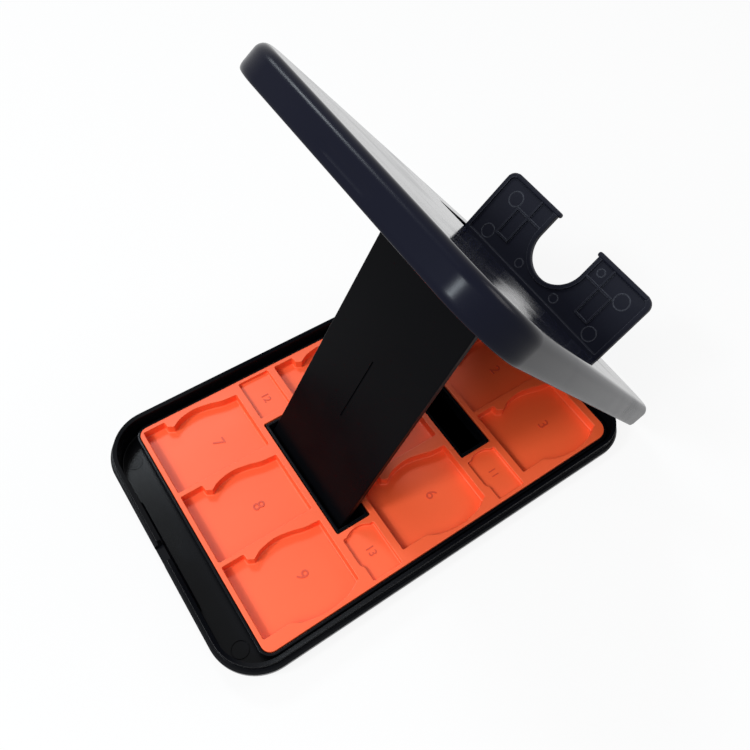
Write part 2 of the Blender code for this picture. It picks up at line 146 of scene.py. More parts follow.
def bend(start, corner, end, steps=4):
    # A quarter round from start to end, whose straight sides would meet at the corner
    points = []
    for step in range(steps + 1):
        turn = math.pi / 2 * step / steps
        points.append(tuple(
            middle + (first - middle) * (1 - math.sin(turn)) + (last - middle) * (1 - math.cos(turn))
            for first, middle, last in zip(start, corner, end)
        ))
    return points


# Meshes

class Moulding:
    # Builds one closed mesh from rings of points
    def __init__(self):
        self.mesh = bmesh.new()

    def walls(self, outline, profile):
        # The profile is a list of how far in and how high each ring lies
        rings = []
        for inwards, height in profile:
            points = inset(outline, inwards)
            rings.append([self.mesh.verts.new((point.x, point.y, height)) for point in points])
        for lower, upper in zip(rings, rings[1:]):
            for index in range(len(lower)):
                after = index + 1 - len(lower)
                self.mesh.faces.new((lower[index], lower[after], upper[after], upper[index]))
        return rings[0], rings[-1]

    def cap(self, *rings):
        # A flat face whose edge is the first ring, with a hole for each of the others
        edges = []
        for ring in rings:
            for index in range(len(ring)):
                edges.append(self.mesh.edges.get((ring[index], ring[index + 1 - len(ring)])))
        bmesh.ops.triangle_fill(self.mesh, use_beauty=True, use_dissolve=False, edges=edges)

    def solid(self, outline, profile):
        first, last = self.walls(outline, profile)
        self.cap(first)
        self.cap(last)
        return self

    def pocket(self, outline, floor, top, flare, root):
        # A hollow with a rounded mouth and foot, whose mouth ring is handed back for the face round it
        profile = [(-flare - faceMargin, top)]
        profile += bend((-flare, top), (0, top), (0, top - flare))
        profile += bend((0, floor + root), (0, floor), (root, floor))
        profile.append((root + faceMargin, floor))
        mouth, foot = self.walls(outline, profile)
        self.cap(foot)
        return mouth

    def shaft(self, outline, low, high, flare):
        profile = [(-flare - faceMargin, low)]
        profile += bend((-flare, low), (0, low), (0, low + flare))
        profile += bend((0, high - flare), (0, high), (-flare, high))
        profile.append((-flare - faceMargin, high))
        return self.walls(outline, profile)

    def piece(self, name, turn=Matrix()):
        bmesh.ops.recalc_face_normals(self.mesh, faces=self.mesh.faces)
        data = bpy.data.meshes.new(name)
        self.mesh.to_mesh(data)
        self.mesh.free()
        data.transform(turn)
        made = bpy.data.objects.new(name, data)
        bpy.context.scene.collection.objects.link(made)
        return made


faceMargin = 0.06    # a flat ring beside each rounding keeps the shading of the face even
# Turns an outline's x, y and height into Y, Z and X
alongX = Matrix(((0, 0, 1, 0), (1, 0, 0, 0), (0, 1, 0, 0), (0, 0, 0, 1)))


def slabProfile(low, high, lowRound, highRound, steps=4):
    profile = []
    if lowRound:
        profile.append((lowRound + faceMargin, low))
        profile += bend((lowRound, low), (0, low), (0, low + lowRound), steps)
    else:
        profile.append((0, low))
    if highRound:
        profile += bend((0, high - highRound), (0, high), (highRound, high), steps)
        profile.append((highRound + faceMargin, high))
    else:
        profile.append((0, high))
    return profile


def slab(name, outline, low, high, lowRound=0, highRound=0, turn=Matrix()):
    return Moulding().solid(outline, slabProfile(low, high, lowRound, highRound)).piece(name, turn)


def block(name, low, high, rounding, corner=0.0):
    corner = corner or rounding + 2 * faceMargin
    outline = roundedRectangle(low[:2], high[:2], [corner] * 4, 3)
    return slab(name, outline, low[2], high[2], rounding, rounding)


def bar(name, outline, low, high, rounding=0):
    # A bar along X whose outline is given in Y and Z
    return slab(name, outline, low, high, rounding, rounding, alongX)


def rod(name, radius, low, high, place, rounding=0.0, steps=40):
    # A rod along X about the line at place in Y and Z
    return bar(name, circle(place, radius, steps), low, high, rounding)


def combine(target, tool, operation):
    modifier = target.modifiers.new(tool.name, "BOOLEAN")
    modifier.operation = operation
    modifier.solver = "EXACT"
    modifier.object = tool


def join(target, *tools):
    for tool in tools:
        combine(target, tool, "UNION")


def cut(target, *tools):
    for tool in tools:
        combine(target, tool, "DIFFERENCE")


def meshFrom(piece):
    bpy.context.view_layer.update()
    graph = bpy.context.evaluated_depsgraph_get()
    return bpy.data.meshes.new_from_object(
        piece.evaluated_get(graph), preserve_all_data_layers=True, depsgraph=graph
    )


def finishPiece(name, shape, place, finish, slot, body, *nodes):
    # Applies the cuts, evens the shading, sets the piece in its place in metres and ties it to its body
    tools = [modifier.object for modifier in shape.modifiers]
    data = meshFrom(shape)
    mesh = bmesh.new()
    mesh.from_mesh(data)
    bmesh.ops.remove_doubles(mesh, verts=mesh.verts, dist=0.0005)
    mesh.to_mesh(data)
    mesh.free()
    data.shade_smooth()
    data.set_sharp_from_angle(angle=math.radians(40))
    for spare in [shape] + tools:
        bpy.data.objects.remove(spare)
    even = bpy.data.objects.new(name, data)
    bpy.context.scene.collection.objects.link(even)
    weighted = even.modifiers.new("even faces", "WEIGHTED_NORMAL")
    weighted.keep_sharp = True
    data = meshFrom(even)
    bpy.data.objects.remove(even)
    data.transform(Matrix.Scale(mm, 4) @ place)
    data.materials.clear()
    data.materials.append(finish)
    piece = bpy.data.objects.new(name, data)
    bpy.context.scene.collection.objects.link(piece)
    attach(piece, body)
    if nodes:
        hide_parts(*nodes)
    print(f"{name}: {len(data.polygons)} faces")


# Finishes

class Signal:
    # A shader socket that can be used in sums
    def __init__(self, finish, socket):
        self.finish = finish
        self.socket = socket

    def sum(self, operation, first, second):
        return self.finish.node("ShaderNodeMath", {"operation": operation}, {0: first, 1: second})

    def __add__(self, other):
        return self.sum("ADD", self, other)

    def __radd__(self, other):
        return self.sum("ADD", other, self)

    def __sub__(self, other):
        return self.sum("SUBTRACT", self, other)

    def __rsub__(self, other):
        return self.sum("SUBTRACT", other, self)

    def __mul__(self, other):
        return self.sum("MULTIPLY", self, other)


class Finish:
    def __init__(self, name):
        self.material = bpy.data.materials.new(name)
        self.material.use_nodes = True
        self.tree = self.material.node_tree
        self.shader = self.tree.nodes["Principled BSDF"]
        self.place = self.node("ShaderNodeTexCoord", output="Object")

    def node(self, kind, settings=None, values=None, output=0):
        node = self.tree.nodes.new(kind)
        for key, value in (settings or {}).items():
            if key == "stops":
                for stop, (position, level) in zip(node.color_ramp.elements, value):
                    stop.position = position
                    stop.color = (level, level, level, 1)
            else:
                setattr(node, key, value)
        self.feed(node, values or {})
        return Signal(self, node.outputs[output])

    def feed(self, node, values):
        for key, value in values.items():
            if isinstance(value, Signal):
                self.tree.links.new(value.socket, node.inputs[key])
            else:
                node.inputs[key].default_value = value

    def rays(self):
        # 1 for the rays that see the background: the camera's, and those in glass and in reflections
        camera, glass, glossy = (
            self.node("ShaderNodeLightPath", output=f"Is {kind} Ray")
            for kind in ("Camera", "Transmission", "Glossy")
        )
        return camera + glass + glossy

    def vectors(self, operation, first, second, output=0):
        return self.node("ShaderNodeVectorMath", {"operation": operation}, {0: first, 1: second}, output)

    def noise(self, size, detail, stretch=None):
        # Soft noise between 0 and 1 with patches of about this size
        place = self.vectors("MULTIPLY", self.place, stretch) if stretch else self.place
        values = {"Vector": place, "Scale": 1 / (size * mm), "Detail": detail}
        return self.node("ShaderNodeTexNoise", None, values)

    def along(self, direction):
        # How far out the place lies in this direction, in metres
        return self.vectors("DOT_PRODUCT", self.place, direction, "Value")

    def ramp(self, signal, low, high):
        return self.node("ShaderNodeValToRGB", {"stops": ((low, 0.0), (high, 1.0))}, {"Fac": signal})

    def blend(self, share, first, second):
        # Mixes two colours, each written out or a signal
        first, second = (colour if isinstance(colour, Signal) else (*colour, 1) for colour in (first, second))
        return self.node("ShaderNodeMix", {"data_type": "RGBA"}, {0: share, 6: first, 7: second}, output=2)

    def bump(self, height, depth):
        return self.node("ShaderNodeBump", None, {"Height": height, "Distance": depth * mm, "Strength": 1.0})

    def paintedEdgeLightMask(self, width, contrast):
        # 1 at the edges that are rounded more tightly than width, else 0; it places painted highlights along
        # edges, and painted shade along the numbers' edges
        soft = self.node("ShaderNodeBevel", {"samples": 4}, {"Radius": width * mm})
        hard = self.node("ShaderNodeNewGeometry", output="Normal")
        facing = self.vectors("DOT_PRODUCT", soft, hard, "Value")
        return self.node("ShaderNodeClamp", None, {"Value": (1 - facing) * contrast})


class Air(Finish):
    # The nodes of the world
    def __init__(self, world):
        self.tree = world.node_tree


def mouldedPlastic(name, look):
    # Moulded plastic with spark-eroded grain, a slight change of shade, and smudges that dull it
    finish = Finish(name)
    patches = finish.noise(look["patch"], 3.0)
    smudge = finish.ramp(finish.noise(look["smudge"], 4.0, (1.0, 1.6, 1.0)), 0.5, 0.72)
    grain = finish.noise(look["grain"], 2.0)
    height = grain + finish.noise(look["grain"] * 4, 1.0) * 0.6
    rough = look["rough"] + (patches - 0.5) * look["roughChange"] + smudge * look["smudgeDull"]
    if "polish" in look:    # from this level outwards the face is glossier
        level = finish.along(look["outwards"]) - look["level"]
        rough = rough - finish.ramp(level * look["levelRise"], 0.0, 1.0) * look["polish"]
    base = finish.blend(patches, look["colour"], look["second"])
    # Where the look has an edge colour, it is a painted highlight along the tightly rounded edges
    if "edge" in look:
        base = finish.blend(finish.paintedEdgeLightMask(look["edgeWidth"], look["edgeContrast"]), base, look["edge"])
    finish.feed(finish.shader, {
        "Base Color": base,
        "Roughness": rough + (grain - 0.5) * look["grainDull"],
        "Normal": finish.bump(height, look["grainDepth"]),
        "Specular IOR Level": look["specular"],
    })
    return finish.material


caseLook = {
    "colour": (0.0016, 0.002, 0.003), "second": (0.0026, 0.003, 0.0045), "patch": 30.0,
    "rough": 0.24, "roughChange": 0.05, "smudge": 14.0, "smudgeDull": 0.05,
    "grain": 0.16, "grainDepth": 0.006, "grainDull": 0.1, "specular": 0.12,
}
lidLook = {
    "colour": (0.0032, 0.004, 0.0105), "second": (0.0042, 0.005, 0.0125), "patch": 36.0,
    "rough": 0.24, "roughChange": 0.04, "smudge": 18.0, "smudgeDull": 0.05,
    "grain": 0.14, "grainDepth": 0.003, "grainDull": 0.02, "specular": 0.1,
    "outwards": (0.0, -0.78152, 0.62388), "level": 0.0722, "levelRise": 2500, "polish": 0.12,
}
legLook = {
    "colour": (0.0015, 0.0017, 0.0024), "second": (0.0023, 0.0024, 0.003), "patch": 24.0,
    "rough": 0.3, "roughChange": 0.08, "smudge": 16.0, "smudgeDull": 0.12,
    "grain": 0.14, "grainDepth": 0.004, "grainDull": 0.1, "specular": 0.04,
}
lipLook = {
    "colour": (0.0026, 0.0032, 0.0085), "second": (0.0038, 0.0045, 0.0115), "patch": 18.0,
    "rough": 0.54, "roughChange": 0.08, "smudge": 9.0, "smudgeDull": 0.06,
    "grain": 0.18, "grainDepth": 0.014, "grainDull": 0.1, "specular": 0.16,
    # edge is a painted pale highlight along the lip's rounded edges, ribs and bead
    "edge": (0.085, 0.09, 0.11), "edgeWidth": 0.25, "edgeContrast": 8.0,
}
caseBlack = mouldedPlastic("case black plastic", caseLook)
lidBlack = mouldedPlastic("lid black plastic", lidLook)
legBlack = mouldedPlastic("leg gloss plastic", legLook)
lipBlack = mouldedPlastic("lip navy plastic", lipLook)

coralLook = {
    # edge is a painted pale highlight along the rounded edges, mixed in by edgeShare
    "colour": (0.98, 0.128, 0.034), "second": (0.95, 0.11, 0.028), "edge": (1.0, 0.32, 0.18),
    "edgeWidth": 0.35, "edgeContrast": 1.6, "edgeShare": 0.8,
    "rough": 0.55, "grain": 0.25, "grainDepth": 0.01, "specular": 0.9,
}
# The numbers' colour and edge colour are darker than the coral: painted shade standing in for the shading of
# the raised strokes
numberLook = {"colour": (0.7, 0.07, 0.026), "second": (0.66, 0.062, 0.022), "edge": (0.6, 0.05, 0.02)}


def softCoral(name, look):
    # Matte elastomer: faint flow marks, dust in the grain, and an edge colour painted along its rounded
    # edges: a painted highlight on the insert, painted shade on the numbers
    finish = Finish(name)
    flow = finish.noise(22.0, 4.0, (1.0, 0.45, 1.0))
    grain = finish.noise(look["grain"], 3.0)
    base = finish.blend(flow, look["colour"], look["second"])
    # mask for the colour painted along the edges
    edges = finish.paintedEdgeLightMask(look["edgeWidth"], look["edgeContrast"])
    finish.feed(finish.shader, {
        "Base Color": finish.blend(edges * look["edgeShare"], base, look["edge"]),
        "Roughness": look["rough"] + (flow - 0.5) * 0.12 + (grain - 0.5) * 0.1,
        "Normal": finish.bump(grain + flow * 0.4, look["grainDepth"]),
        "Specular IOR Level": look["specular"],
    })
    return finish.material


steelLook = {
    "colour": (0.62, 0.62, 0.64), "tarnished": (0.5, 0.49, 0.48), "patch": 1.8,
    "rough": 0.24, "roughChange": 0.2, "line": 0.12, "lineStretch": (0.06, 1.0, 1.0), "lineDepth": 0.006,
}


def groundSteel(name, look):
    # Ground rod: fine lines along its length, and patches of tarnish
    finish = Finish(name)
    lines = finish.noise(look["line"], 2.0, look["lineStretch"])
    tarnish = finish.noise(look["patch"], 3.0)
    finish.feed(finish.shader, {
        "Base Color": finish.blend(tarnish, look["colour"], look["tarnished"]),
        "Metallic": 1.0,
        "Roughness": look["rough"] + lines * look["roughChange"],
        "Normal": finish.bump(lines, look["lineDepth"]),
    })
    return finish.material


rubberLook = {
    "colour": (0.018, 0.018, 0.018), "dusty": (0.07, 0.068, 0.062), "dust": 1.6, "dustShare": 0.5,
    "rough": 0.78, "roughChange": 0.12, "grain": 0.2, "grainDepth": 0.02,
}


def footRubber(name, look):
    # Matte rubber with dust on it
    finish = Finish(name)
    dust = finish.ramp(finish.noise(look["dust"], 4.0), 0.5, 0.75)
    grain = finish.noise(look["grain"], 2.0)
    finish.feed(finish.shader, {
        "Base Color": finish.blend(dust * look["dustShare"], look["colour"], look["dusty"]),
        "Roughness": look["rough"] + grain * look["roughChange"],
        "Normal": finish.bump(grain, look["grainDepth"]),
    })
    return finish.material


coral = softCoral("coral elastomer", coralLook)
shadedNumberCoral = softCoral("number coral with painted shade", {**coralLook, **numberLook})
steel = groundSteel("ground steel", steelLook)
rubber = footRubber("foot rubber", rubberLook)
print("finishes made")

# Tray

trayLow, trayHigh = boxOf("base_tray")
halfWidth = trayHigh.x
halfLength = trayHigh.y
insertLow, insertHigh = boxOf("card_insert")

casePlan = {"corner": 15.0, "hingeCorner": 12.5, "tongueInset": 1.3, "rimWidth": 2.5}
trayPlan = {
    "floor": 2.4, "ledge": 7.9, "bottomRound": 3.8, "bottomRise": 6.0, "chamfer": 0.55,
    "tongueRound": 0.12, "tongueFall": 0.42, "tongueFoot": 0.1, "innerRound": 0.4,
    "guardWall": 0.95, "guardOut": 1.1, "guardTop": 6.9, "guardRound": 0.25,
    "frameTop": 7.1, "frameCorner": 0.5, "gap": 0.3, "wallFoot": 2.0,
    "catchHalf": 18.5, "catchDepth": 0.75, "catchTop": 7.6, "catchDrop": 1.0, "catchEdge": 0.12,
    "catchRoot": 0.7, "catchShoulder": 0.1, "catchRound": 0.25,
    "notchHalf": 3.3, "notchRidge": 6.9, "notchDrop": 1.9,
    "notchInwards": 1.6, "notchOutwards": 1, "notchClear": 7,
    "footRadius": 4.3, "footInset": 16.0, "footSeat": 0.7, "footEdge": 0.1,
    # Each ejector mark's centre, the radii of its rings, and how far they stand up
    "markWidth": 0.32, "marks": (((34.2, 67.35), (2.6, 1.7, 0.8), 0.17), ((-34.2, 67.25), (2.7,), 0.4)),
}
wellPlan = {"halfWidth": 22.1, "length": 11.97}


def caseOutline(middle=0.0):
    low = (-halfWidth, middle - halfLength)
    radii = [casePlan["corner"]] * 2 + [casePlan["hingeCorner"]] * 2
    return roundedRectangle(low, (halfWidth, middle + halfLength), radii, 24)


def insertOutline(grow):
    low = (insertLow.x - grow, insertLow.y - grow)
    high = (insertHigh.x + grow, insertHigh.y + grow)
    radii = [cardPlan["latchCorner"] + grow] * 2 + [cardPlan["hingeCorner"] + grow] * 2
    return roundedRectangle(low, high, radii, 8)


def wellOutline(row, shrink, corner):
    latchEnd = firstWellY - row * rowPitch
    half = wellPlan["halfWidth"] - shrink
    low = (-half, latchEnd - wellPlan["length"] + shrink)
    return roundedRectangle(low, (half, latchEnd - shrink), [corner] * 4, 4)


def wallProfile(width, foot, top, rounding):
    # A thin wall from its outer foot over its rounded top to its inner foot
    profile = [(0, foot)] + bend((0, top - rounding), (0, top), (rounding, top), 3)
    profile += bend((width - rounding, top), (width, top), (width, top - rounding), 3)
    return profile + [(width, foot)]


def thinWall(name, outline, top):
    wall = Moulding()
    profile = wallProfile(trayPlan["guardWall"], trayPlan["wallFoot"], top, trayPlan["guardRound"])
    outer, inner = wall.walls(outline, profile)
    wall.cap(outer, inner)
    return wall.piece(name)


def ringMark(name, centre, radius, level, width, rise):
    # The low ring that an ejector pin leaves
    wall = Moulding()
    profile = [(0, level - 0.3), (0, level + rise * 0.4), (0.07, level + rise), (width - 0.07, level + rise)]
    profile += [(width, level + rise * 0.4), (width, level - 0.3)]
    outer, inner = wall.walls(circle(centre, radius, 36), profile)
    wall.cap(outer, inner)
    return wall.piece(name)


def footPlaces():
    places = {}
    for sideName, side in (("left", -1), ("right", 1)):
        for endName, end in (("hinge", -1), ("latch", 1)):
            spot = (side * (halfWidth - trayPlan["footInset"]), end * (halfLength - trayPlan["footInset"]))
            places[f"foot_{endName}_{sideName}"] = spot
    return places


def trayShell():
    plan = trayPlan
    underside = trayLow.z
    edge, ledge, top = plan["bottomRound"], plan["ledge"], trayHigh.z
    tongue, rim = casePlan["tongueInset"], casePlan["rimWidth"]
    small, foot, inner = plan["tongueRound"], plan["tongueFoot"], plan["innerRound"]
    profile = [(edge + faceMargin, underside)]
    profile += bend((edge, underside), (0, underside), (0, underside + plan["bottomRise"]), 8)
    profile += [(0, ledge - plan["chamfer"]), (plan["chamfer"], ledge)]
    profile += bend((tongue - foot, ledge), (tongue, ledge), (tongue, ledge + foot), 2)
    profile += bend((tongue, top - small), (tongue, top), (tongue + small, top), 3)
    profile.append((rim, top - plan["tongueFall"]))
    profile += bend((rim, plan["floor"] + inner), (rim, plan["floor"]), (rim + inner, plan["floor"]), 6)
    profile.append((rim + inner + faceMargin, plan["floor"]))
    shell = Moulding()
    bottom, floor = shell.walls(caseOutline(), profile)
    shell.cap(floor)
    seats = []
    seatEdge, seatTop = plan["footEdge"], underside + plan["footSeat"]
    seatProfile = [(-seatEdge, underside), (0, underside + seatEdge), (0, seatTop)]
    for centre in footPlaces().values():
        mouth, roof = shell.walls(circle(centre, plan["footRadius"]), seatProfile)
        shell.cap(roof)
        seats.append(mouth)
    shell.cap(bottom, *seats)
    return shell.piece("tray shell")


def catchWedge(wall):
    # The latch's catch, whose top falls away from the wall
    plan = trayPlan
    foot, top = plan["wallFoot"], plan["catchTop"]
    tip, root = wall - plan["catchDepth"], wall + plan["catchRoot"]
    corners = [(tip, foot), (root, foot), (root, top)]
    corners += [(wall - plan["catchShoulder"], top), (tip, top - plan["catchDrop"])]
    outline = softened(corners, plan["catchRound"])
    return bar("catch", outline, -plan["catchHalf"], plan["catchHalf"], plan["catchEdge"])


def notchCut(wall):
    # The thumb notch in the latch end's wall, whose floor falls away to both sides of a ridge
    plan = trayPlan
    ridge, top = plan["notchRidge"], plan["notchRidge"] + plan["notchClear"]
    low = ridge - plan["notchDrop"]
    inside, outside = wall - plan["notchInwards"], halfLength + plan["notchOutwards"]
    points = [(inside, low), (wall, ridge), (outside, low), (outside, top), (inside, top)]
    return bar("notch", [Vector(point) for point in points], -plan["notchHalf"], plan["notchHalf"])


def makeTray():
    plan = trayPlan
    tray = trayShell()
    join(tray, thinWall("insert guard", insertOutline(plan["guardOut"]), plan["guardTop"]))
    for row in range(2):
        outline = wellOutline(row, plan["gap"], plan["frameCorner"])
        join(tray, thinWall(f"well frame {row}", outline, plan["frameTop"]))
    innerEnd = halfLength - casePlan["rimWidth"]
    join(tray, catchWedge(innerEnd))
    for number, (centre, radii, rise) in enumerate(plan["marks"]):
        for radius in radii:
            name = f"mark {number} {radius}"
            join(tray, ringMark(name, centre, radius, plan["floor"], plan["markWidth"], rise))
    addTrayKnuckles(tray)
    cut(tray, notchCut(innerEnd))
    finishPiece("tray_moulding", tray, Matrix(), caseBlack, "case_black", "base", "base_tray")


hingePlan = {
    "radius": 2.1, "reach": 2.46, "root": 0.7, "gussetAngle": 120.0, "spacing": 48.0,
    "lidWidth": 8.0, "trayWidth": 4.0, "play": 0.3, "rise": 0.74, "pinRadius": 0.9, "edge": 0.2,
}


def knuckleOutline(up, webLevel, middle):
    # The barrel about the hinge axis with its web into the wall, up (1) or down (-1) from the axis
    plan = hingePlan
    radius = plan["radius"]
    reach = plan["reach"] + plan["root"]
    tangent = math.radians(plan["gussetAngle"])
    run = (reach - radius * math.cos(tangent)) / math.sin(tangent)
    gusset = radius * math.sin(tangent) - run * math.cos(tangent)
    points = arc((0, 0), radius, math.degrees(math.asin(webLevel / radius)), plan["gussetAngle"] - 360, 36)
    points += [Vector((reach, gusset)), Vector((reach, webLevel))]
    return counterClockwise([Vector((middle[0] + point.x, middle[1] + up * point.y)) for point in points])


def addTrayKnuckles(tray):
    plan = hingePlan
    axis = pivots["lid_hinge"]
    outline = knuckleOutline(-1, plan["rise"] + 2 * plan["play"], (axis.y, axis.z))
    start = plan["lidWidth"] / 2 + plan["play"]
    for side in (-1, 1):
        for inner in (-1, 1):
            middle = side * (plan["spacing"] / 2 + inner * (start + plan["trayWidth"] / 2))
            low, high = middle - plan["trayWidth"] / 2, middle + plan["trayWidth"] / 2
            join(tray, bar(f"tray knuckle {side} {inner}", outline, low, high, plan["edge"]))
    bore = plan["pinRadius"] + plan["play"]
    spread = plan["spacing"] / 2 + start + plan["trayWidth"] + 1
    cut(tray, rod("tray bore", bore, -spread, spread, (axis.y, axis.z)))


# Card insert

cardPlan = {
    "width": 21.46, "length": 31.59, "columnWeb": 4.44, "rowWeb": 1.98, "latchBorder": 1.47, "floor": 3.7,
    "latchCorner": 3.0, "hingeCorner": 4.5,    # of the insert's own outline
    "flare": 0.16, "root": 0.45, "corner": 0.5, "edge": 0.2, "underEdge": 0.15, "wellCorner": 0.6,
    "step": ((13.6, 0.0), (13.6, -7.2), (11.6, -7.35), (10.6, -9.2)),
    "farFinger": (
        (10.6, -9.2), (12.25, -12.3), (13.05, -17.4), (12.3, -22.4), (11.15, -26.6), (10.75, -30.6),
    ),
    "nearFinger": ((-10.78, -31.0), (-12.7, -27.4), (-13.9, -20.0), (-12.8, -12.6), (-10.78, -8.5)),
}
smallPlan = {
    "width": 15.3, "length": 11.0, "depth": 1.5, "border": 1.2, "root": 0.3,
    "finger": ((0.12, 0.0), (0.3, 1.0), (0.5, 1.3), (0.7, 1.0), (0.88, 0.0)), "step": (0.6, 0.68, 0.9),
}
columnPitch = cardPlan["width"] + cardPlan["columnWeb"]
rowPitch = cardPlan["length"] + wellPlan["length"] + 2 * cardPlan["rowWeb"]
firstRowY = insertHigh.y - cardPlan["latchBorder"]
firstWellY = firstRowY - cardPlan["length"] - cardPlan["rowWeb"]
wellMiddles = [firstWellY - row * rowPitch - wellPlan["length"] / 2 for row in range(2)]


def cardOutline(column, row):
    # From the step at the latch end, along the finger recess on the far side, and back up the near side
    half = cardPlan["width"] / 2
    points = [Vector(point) for point in cardPlan["step"][:-1]]
    points += curveThrough(cardPlan["farFinger"])
    points += [Vector((half, -cardPlan["length"])), Vector((-half, -cardPlan["length"]))]
    if column == -1:
        points += curveThrough(cardPlan["nearFinger"])
    points.append(Vector((-half, 0.0)))
    corner = Vector((column * columnPitch, firstRowY - row * rowPitch))
    return softened([corner + point for point in points], cardPlan["corner"])


def smallOutline(side, row):
    plan = smallPlan
    outer = insertHigh.x - plan["border"]
    inner = outer - plan["width"]
    low, high = wellMiddles[row] - plan["length"] / 2, wellMiddles[row] + plan["length"] / 2
    if side > 0:
        return softened([(inner, low), (outer, low), (outer, high), (inner, high)], cardPlan["corner"])
    first, second, depth = plan["step"]
    points = [Vector((-outer, low)), Vector((-inner, low))]
    finger = [(-inner + out, high - down * plan["length"]) for down, out in plan["finger"][::-1]]
    points += curveThrough(finger)
    points += [Vector((-inner, high)), Vector((-inner - first * plan["width"], high))]
    points += [Vector((-inner - second * plan["width"], high - depth)), Vector((-outer, high - depth))]
    return softened(points, cardPlan["corner"])


def makeInsert():
    plan = cardPlan
    bottom, top = insertLow.z, insertHigh.z
    insert = Moulding()
    profile = slabProfile(bottom, top, plan["underEdge"], plan["edge"])
    under, over = insert.walls(insertOutline(0), profile)
    wellOutlines = [wellOutline(row, 0, plan["wellCorner"]) for row in range(2)]
    wells = [insert.shaft(outline, bottom, top, plan["flare"]) for outline in wellOutlines]
    mouths = [upper for lower, upper in wells]
    for column in (-1, 0, 1):
        for row in range(3):
            outline = cardOutline(column, row)
            mouths.append(insert.pocket(outline, plan["floor"], top, plan["flare"], plan["root"]))
    smallFloor = top - smallPlan["depth"]
    for side in (-1, 1):
        for row in range(2):
            outline = smallOutline(side, row)
            mouths.append(insert.pocket(outline, smallFloor, top, plan["flare"], smallPlan["root"]))
    insert.cap(under, *[lower for lower, upper in wells])
    insert.cap(over, *mouths)
    piece = insert.piece("insert shape")
    finishPiece("insert_moulding", piece, Matrix(), coral, "insert_coral", "base", "card_insert")


numberPlan = {
    "cardSize": 5.4, "smallSize": 3.6, "rise": 0.2, "sink": 0.1, "thin": 0.002,
    "cardDown": 18.8, "smallOut": 31.3,
}


def number(text, size, x, y, level):
    # A raised plain number, its top towards the hinge
    curve = bpy.data.curves.new(text, "FONT")
    curve.body = text
    curve.size = size
    curve.offset = -numberPlan["thin"]
    curve.align_x = "CENTER"
    curve.align_y = "CENTER"
    curve.resolution_u = 5
    curve.extrude = (numberPlan["rise"] + numberPlan["sink"]) / 2
    letters = bpy.data.objects.new(text, curve)
    bpy.context.scene.collection.objects.link(letters)
    data = meshFrom(letters)
    bpy.data.objects.remove(letters)
    height = level + (numberPlan["rise"] - numberPlan["sink"]) / 2
    data.transform(Matrix.Translation((x, y, height)) @ Matrix.Rotation(math.pi, 4, "Z"))
    return data


def makeNumbers():
    plan = numberPlan
    gathered = bmesh.new()
    for column in (-1, 0, 1):
        for row in range(3):
            label = str(3 * (2 - row) + 2 - column)
            y = firstRowY - row * rowPitch - plan["cardDown"]
            gathered.from_mesh(number(label, plan["cardSize"], column * columnPitch, y, cardPlan["floor"]))
    places = (("10", 1, 1), ("11", -1, 1), ("12", 1, 0), ("13", -1, 0))
    for label, side, row in places:
        level = insertHigh.z - smallPlan["depth"]
        gathered.from_mesh(number(label, plan["smallSize"], side * plan["smallOut"], wellMiddles[row], level))
    bmesh.ops.remove_doubles(gathered, verts=gathered.verts, dist=0.0005)
    numbers = Moulding()
    numbers.mesh.free()
    numbers.mesh = gathered
    finishPiece("pocket_numbers", numbers.piece("numbers"), Matrix(), shadedNumberCoral, "insert_coral", "base")


# Lid, in its own frame: the origin on the hinge axis, +Y along the lid and +Z out of its face

lidPlan = {
    "angle": 51.4, "rim": -0.74, "height": 7.85, "skin": 1.8, "wall": 1.8, "edge": 2.7,
    "rimRound": 0.6, "rimRise": 1.6, "innerRound": 1.0,
    "rabbetInset": 1.0, "rabbetDepth": 1.4, "rabbetEdge": 0.15, "rabbetSlope": 0.05,
    "recessWall": 1.5, "recessSkin": 1.25, "recessFlare": 0.2, "recessRoot": 0.3,
    "recessFillet": 0.3, "recessEdge": 0.25,
    "bossRadius": 2.2, "bossWidth": 3.75, "legPin": 0.8, "lipPin": 0.45,
    "dentHalf": 9.8, "dentHeight": 1.7, "dentMiddle": 1.9, "dentDepth": 0.3, "dentSteps": 30,
    "dentLow": 1.0, "dentRise": 0.2, "dentRings": 14, "dentEnds": 2.2, "dentReach": 0.3,
}
lidPlace = Matrix.Translation(pivots["lid_hinge"]) @ Matrix.Rotation(math.radians(lidPlan["angle"]), 4, "X")
lidMiddle = hingePlan["reach"] + halfLength
legPivot = lidPlace.inverted() @ pivots["leg_hinge"]
lipPivot = lidPlace.inverted() @ pivots["lip_hinge"]

